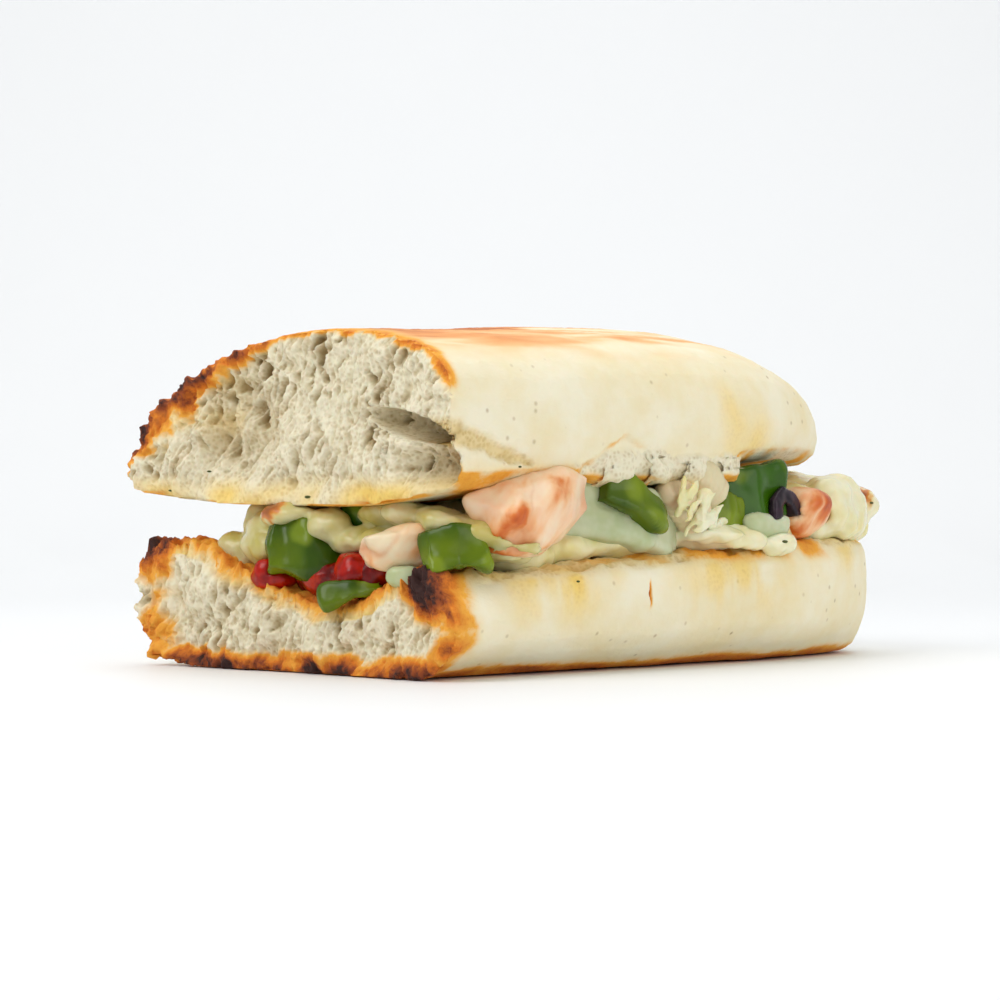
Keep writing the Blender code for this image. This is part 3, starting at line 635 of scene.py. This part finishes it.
# ---- Onion -----------------------------------------------------------------------------------
# Cooked white onion, translucent and pale green-white, with fine ribs along each layer.


def onion_finish():
    finish, nodes, links, shader = new_finish("cooked_onion", 0.24, 0.2, 0.003)
    shader.inputs["Specular IOR Level"].default_value = 0.4
    cloudy = noise_colour(nodes, links, 120, 3)
    colour = ramp(nodes, links, cloudy, [(0.36, (0.44, 0.50, 0.26)), (0.64, (0.58, 0.62, 0.42))])
    links.new(colour, shader.inputs["Base Color"])
    return finish


ONION_FINISH = onion_finish()
for node in sorted(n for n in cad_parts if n.startswith("onion")):
    onion = filling_from(node, 0.00042, 9, lambda p, n: n * (
        0.0006 + 0.00005 * math.sin(p.z / 0.00050 + 3 * noise.noise(p / 0.004)) + 0.0009 * noise.noise(p / 0.0055)))
    onion.data.materials.append(ONION_FINISH)

# ---- Chicken ---------------------------------------------------------------------------------
# Roast chicken torn into chunks: pale pink-white meat whose fibres run along each chunk, basted
# with orange-red sauce.


def chicken_finish():
    finish, nodes, links, shader = new_finish("roast_chicken", 0.36, 0.14, 0.003, 0.10)
    shader.inputs["Specular IOR Level"].default_value = 0.35
    cloudy = noise_colour(nodes, links, 130, 3)
    meat = ramp(nodes, links, cloudy, [(0.36, (0.88, 0.60, 0.40)), (0.62, (0.88, 0.73, 0.52))])
    meat = blend(nodes, links, layer_value(nodes, "plain"), meat, (0.70, 0.62, 0.38))
    basted = ramp(nodes, links, layer_value(nodes, "basted"),
                  [(0.0, (0.88, 0.54, 0.28)), (0.35, (0.84, 0.36, 0.10)), (0.7, (0.62, 0.13, 0.015)), (1.0, (0.34, 0.035, 0.005))])
    colour = blend(nodes, links, maths(nodes, links, "MULTIPLY", layer_value(nodes, "basted"), 1.7), meat, basted)
    colour = blend(nodes, links, layer_value(nodes, "cleft"), colour, (0.66, 0.28, 0.12))
    links.new(colour, shader.inputs["Base Color"])
    add_bump(nodes, links, shader, noise_colour(nodes, links, 620, 3), 0.30, 0.0004)
    return finish


CHICKEN_FINISH = chicken_finish()
# how much of the orange-red sauce clings to each chunk, and how pale and plain its meat is
BASTING = {"chicken_front": (0.16, 0.0), "chicken_round_front": (0.34, 0.0), "chicken_torn_end": (-0.05, 0.45),
           "chicken_mid_front": (-0.30, 0.9), "chicken_shred": (-0.40, 0.6)}
for node in sorted(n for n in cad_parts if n.startswith("chicken")):
    low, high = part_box(node)
    middle = (low + high) / 2
    grain_way = Vector((0.55, 0.25, 0.80)).normalized()
    across = grain_way.cross(Vector((0, 1, 0))).normalized()
    soaked, plain = BASTING.get(node, (0.05, 0.2))
    coarse = 2.6 if node in ("chicken_shred", "chicken_mid_front") else 1.0
    cleft = {}

    def fibres(p, n):
        run = (p - middle).dot(grain_way)
        side = (p - middle).dot(across) + 0.0010 * noise.noise(p / 0.006)
        band = noise.noise(Vector((side / 0.0009, run / 0.014, 5)))
        broad = noise.noise(Vector((side / 0.0042, run / 0.012, p.y / 0.008)))
        cleft[len(cleft)] = smooth((-broad - 0.14) / 0.35) * 0.65 + smooth((-band - 0.25) / 0.4) * 0.20
        return n * (0.0006 + 0.00013 * coarse * band + 0.0010 * coarse * broad + 0.0009 * noise.noise(p / 0.0060))

    chicken = filling_from(node, 0.00042, 3, fibres)
    if node == "chicken_torn_end":  # a flat slice folded over the tomato, thinner than the chunks
        lean = Vector((0.35, 0.45, 0.82)).normalized()
        for vertex in chicken.data.vertices:
            out = (vertex.co - middle).dot(lean)
            vertex.co -= lean * out * 0.30
    attribute(chicken, "cleft", [cleft[i] for i in range(len(chicken.data.vertices))])
    basted = []
    for v in chicken.data.vertices:
        run = (v.co - middle).dot(grain_way)
        side = (v.co - middle).dot(across)
        low_left = smooth((middle.x - v.co.x) / (0.6 * (high.x - low.x))) * smooth((middle.z + 0.004 - v.co.z) / 0.010)
        streak = fractal(Vector((side / 1.0, run / 4.0, v.co.y)), 0.0030, 4)
        basted.append(min(1.0, max(0.0, soaked + 0.70 * low_left + 0.50 * noise.noise(v.co / 0.0070) + 0.38 * streak)))
    attribute(chicken, "basted", basted)
    attribute(chicken, "plain", [plain] * len(basted))
    chicken.data.materials.append(CHICKEN_FINISH)

# a few loose white strands caught between the leaf of pepper and the meat behind it
bpy.ops.object.select_all(action="DESELECT")
strands = []
for place, length, turn in (((-9.5, -41.5, 31.6), 4.6, (8, 38, 0)), ((-8.0, -42.0, 30.2), 5.2, (0, 52, 10)),
                            ((-6.0, -41.6, 28.4), 5.0, (12, 34, 0)), ((-4.2, -42.0, 27.0), 4.4, (-6, 60, 0)),
                            ((-10.5, -41.2, 33.0), 3.4, (0, 20, 8)), ((-3.0, -41.8, 28.8), 3.6, (4, 72, 0)),
                            ((-1.0, -41.4, 26.6), 3.6, (0, 84, 0)), ((-5.2, -42.2, 29.8), 3.8, (0, 12, 0))):
    bpy.ops.mesh.primitive_uv_sphere_add(segments=14, ring_count=16, radius=0.001, location=Vector(place) * 0.001,
                                         rotation=[math.radians(a) for a in turn])
    bpy.context.object.scale = (0.85, 0.6, length)
    strands.append(bpy.context.object)
for strand in strands:
    strand.select_set(True)
bpy.ops.object.transform_apply(location=True, rotation=True, scale=True)
bpy.ops.object.join()
shreds = bpy.context.object
shreds.name = "white_shreds"
apply_modifier(shreds, "Run together", "REMESH", mode="VOXEL", voxel_size=0.00030)
for vertex in shreds.data.vertices:
    p = vertex.co.copy()
    vertex.co = p + 0.0009 * noise.noise_vector(p / 0.0034) + 0.0003 * noise.noise_vector(p / 0.0012)
shreds.data.shade_smooth()
attribute(shreds, "torn_end_shade", [0.0] * len(shreds.data.vertices))
attribute(shreds, "browned", [0.0] * len(shreds.data.vertices))
shreds.data.materials.append(CHEESE_FINISH)
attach(shreds, "root")

# ---- Tomato and olive ------------------------------------------------------------------------
# Soft red tomato dice, and slices of pitted black olive with a purple-black skin.


def tomato_finish():
    finish, nodes, links, shader = new_finish("tomato_dice", 0.22, 0.08, 0.002)
    shader.inputs["Specular IOR Level"].default_value = 0.28
    cloudy = noise_colour(nodes, links, 240, 3)
    colour = ramp(nodes, links, cloudy, [(0.35, (0.22, 0.002, 0.001)), (0.60, (0.50, 0.012, 0.002)), (0.74, (0.70, 0.07, 0.004))])
    links.new(colour, shader.inputs["Base Color"])
    return finish


def olive_finish():
    finish, nodes, links, shader = new_finish("black_olive", 0.30)
    shader.inputs["Specular IOR Level"].default_value = 0.3
    colour = ramp(nodes, links, noise_colour(nodes, links, 200, 3), [(0.40, (0.012, 0.006, 0.012)), (0.70, (0.060, 0.025, 0.045))])
    links.new(colour, shader.inputs["Base Color"])
    return finish


TOMATO_FINISH = tomato_finish()
for node in ("tomato_torn_end", "tomato_in_trough", "tomato_rear"):
    tomato = filling_from(node, 0.00042, 4, lambda p, n: n * (0.0004 + 0.0007 * noise.noise(p / 0.0028)))
    tomato.data.materials.append(TOMATO_FINISH)

olive = filling_from("olive_front", 0.0003, 2, lambda p, n: n * (0.0002 + 0.0002 * noise.noise(p / 0.002)))
olive.data.materials.append(olive_finish())

# ---- Dried herbs -----------------------------------------------------------------------------
# A few flecks of dried herb stuck to the oiled lip of the upper bread and to the cheese.

bpy.ops.object.select_all(action="DESELECT")
flecks = []
for ground, size, place in ((upper, 0.30, (-72, 33, 32.0)), (upper, 0.36, (-72, -2, 33.0)), (upper, 0.26, (-72, 22, 37.0)),
                            (upper, 0.24, (-52, -46, 36.5)), (cheese, 0.34, (-66, -20, 32.0)), (cheese, 0.40, (16, -46, 24.0)),
                            (cheese, 0.32, (60, -34, 31.0)), (lower, 0.26, (-40, -48, 18.0))):
    spot = ground.closest_point_on_mesh(Vector(place) * 0.001)
    bpy.ops.mesh.primitive_uv_sphere_add(segments=10, ring_count=6, radius=0.001, location=spot[1],
                                         rotation=spot[2].to_track_quat("Z", "Y").to_euler())
    bpy.context.object.scale = (1.7 * size, 0.8 * size, 0.5 * size)
    flecks.append(bpy.context.object)
for fleck in flecks:
    fleck.select_set(True)
bpy.ops.object.transform_apply(location=True, rotation=True, scale=True)
bpy.ops.object.join()
herbs = bpy.context.object
herbs.name = "dried_herbs"
herb_finish, _, _, herb_shader = new_finish("dried_herbs", 0.7)
herb_shader.inputs["Base Color"].default_value = (0.060, 0.075, 0.010, 1)
herbs.data.materials.append(herb_finish)
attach(herbs, "root")

# ---- Table, light and camera -----------------------------------------------------------------
# A plain pale table that curves up behind the sandwich, wide soft lamps and a long lens.

bpy.ops.object.select_all(action="DESELECT")
bpy.ops.mesh.primitive_plane_add(size=3.0, location=(0, 0, -0.0002))
table = bpy.context.object
table.name = "table"
bpy.ops.object.mode_set(mode="EDIT")
bpy.ops.mesh.subdivide(number_cuts=40)
bpy.ops.object.mode_set(mode="OBJECT")
view_way = Vector((math.sqrt(0.5), math.sqrt(0.5), 0))
for vertex in table.data.vertices:
    back = max(0.0, vertex.co.dot(view_way) - 0.35)
    vertex.co.z += min(back * back * 2.2, 1.4)
table.data.shade_smooth()
bpy.ops.object.transform_apply(location=True, rotation=True, scale=True)
table_finish, _, _, table_shader = new_finish("pale_table", 0.55)
table_shader.inputs["Base Color"].default_value = (0.87, 0.885, 0.895, 1)
table.data.materials.append(table_finish)


def soft_lamp(name, place, size, power):
    """A square white lamp that faces the sandwich."""
    bpy.ops.object.light_add(type="AREA", location=place)
    lamp = bpy.context.object
    lamp.name = name
    lamp.data.shape = "SQUARE"
    lamp.data.size = size
    lamp.data.energy = power
    lamp.rotation_euler = (Vector((0, 0, 0.03)) - Vector(place)).to_track_quat("-Z", "Y").to_euler()
    return lamp


soft_lamp("window_left", (-0.60, 0.05, 0.55), 0.45, 2.6)
soft_lamp("overhead", (0.05, 0.05, 0.85), 0.7, 2.4)
soft_lamp("front_fill", (0.10, -0.85, 0.40), 0.7, 2.4)
soft_lamp("back_glow", (0.55, 0.65, 0.70), 0.9, 2.3)

world = bpy.data.worlds.new("studio")
bpy.context.scene.world = world
world.use_nodes = True
world.node_tree.nodes["Background"].inputs["Color"].default_value = (1, 1, 1, 1)
world.node_tree.nodes["Background"].inputs["Strength"].default_value = 0.50

view_distance, view_side, view_height = 0.590, 0.0128, 0.032
sideways = Vector((math.sqrt(0.5), -math.sqrt(0.5), 0))
frame_shift = Vector((0.00075, -0.0007, 0))
camera_place = -view_way * view_distance - sideways * view_side + Vector((0, 0, view_height)) + frame_shift
look = view_way * math.cos(math.radians(0.10)) - Vector((0, 0, math.sin(math.radians(0.10))))
bpy.ops.object.camera_add(location=camera_place, rotation=look.to_track_quat("-Z", "Y").to_euler())
camera = bpy.context.object
camera.data.lens = 108
camera.data.sensor_width = 36
camera.data.clip_start = 0.01
bpy.context.scene.camera = camera
bpy.context.scene.view_settings.view_transform = "Standard"
